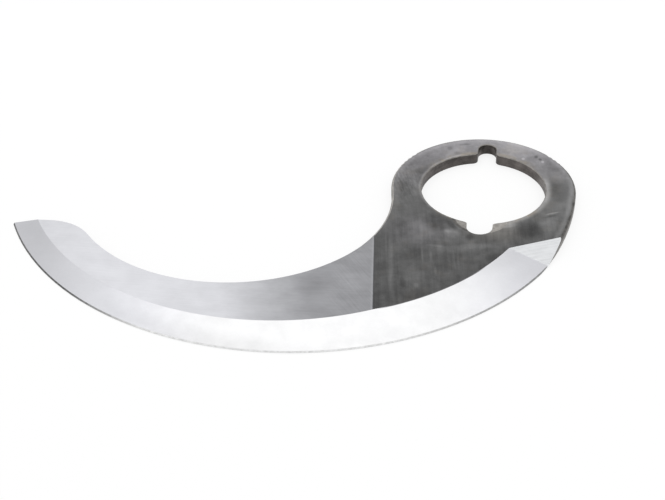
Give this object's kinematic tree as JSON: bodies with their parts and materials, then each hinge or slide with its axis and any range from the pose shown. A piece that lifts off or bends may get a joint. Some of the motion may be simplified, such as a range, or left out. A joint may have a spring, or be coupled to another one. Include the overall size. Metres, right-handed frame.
{
  "type": "cutter mixer blade",
  "caption": "Flat sickle-shaped cutter blade with a keyed eye for the shaft, a curved single bevel on its outer edge and a taper-ground face.",
  "frame": {"origin": "on the bore axis, level with the flat underside", "axes": "+Z along the bore axis out of the ground side, +X from the tip of the arm towards the eye along the longest side of the blade, +Y away from the cutting edge"},
  "size_m": [0.224, 0.1389, 0.0045],
  "materials": {
    "blade_steel": "dark rolled skin on the eye, satin ground arm, bright ground bevel"
  },
  "bodies": {
    "root": {"cutter_blade": "blade_steel"}
  },
  "joints": []
}
